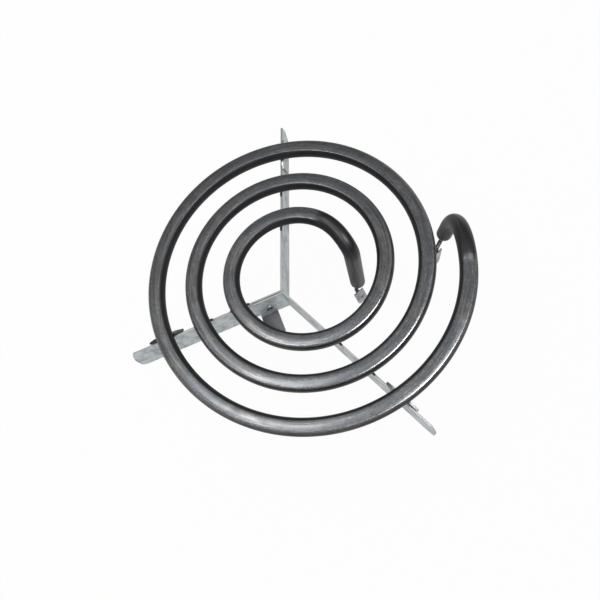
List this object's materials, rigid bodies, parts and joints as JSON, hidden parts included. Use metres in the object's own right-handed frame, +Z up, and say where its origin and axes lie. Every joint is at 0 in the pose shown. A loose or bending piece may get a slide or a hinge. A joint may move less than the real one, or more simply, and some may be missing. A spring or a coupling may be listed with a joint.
{
  "type": "spiral tubular heating element",
  "caption": "Flat spiral sheathed heating tube with a pressed top, on a three-armed sheet metal support, its cold ends bent down to tab terminals.",
  "frame": {"origin": "where the three arms' middle planes meet, on the plane of the arms' bottom edges", "axes": "+Z up, square to the flat coil, towards its pressed top; +Y along arm 1 from the middle outwards"},
  "size_m": [0.1636, 0.161, 0.062],
  "materials": {
    "sheath": "oxidised dark alloy tube, with its pressed top worn to satin",
    "resistance_wire": "plain resistance wire",
    "magnesia": "packed white powder",
    "terminal_steel": "plain steel",
    "tab_metal": "nickel plated, smooth",
    "seal": "matt resin",
    "bush_ceramic": "unglazed",
    "zinc_strip": "zinc plated, dull and a little mottled",
    "rivet_steel": "zinc plated",
    "dark_clip": "heat-darkened sheet steel"
  },
  "bodies": {
    "root": {"heating_tube_sheath": "sheath", "resistance_coil": "resistance_wire", "magnesia_filling": "magnesia", "inner_terminal_pin": "terminal_steel", "outer_terminal_pin": "terminal_steel", "inner_tab_terminal": "tab_metal", "outer_tab_terminal": "tab_metal", "inner_moisture_seal": "seal", "outer_moisture_seal": "seal", "inner_end_bush": "bush_ceramic", "outer_end_bush": "bush_ceramic", "long_support_strip": "zinc_strip", "short_support_strip": "zinc_strip", "support_rivet": "rivet_steel", "arm_1_tube_clip": "dark_clip", "arm_2_tube_clip": "dark_clip", "arm_3_tube_clip": "dark_clip"}
  },
  "joints": []
}
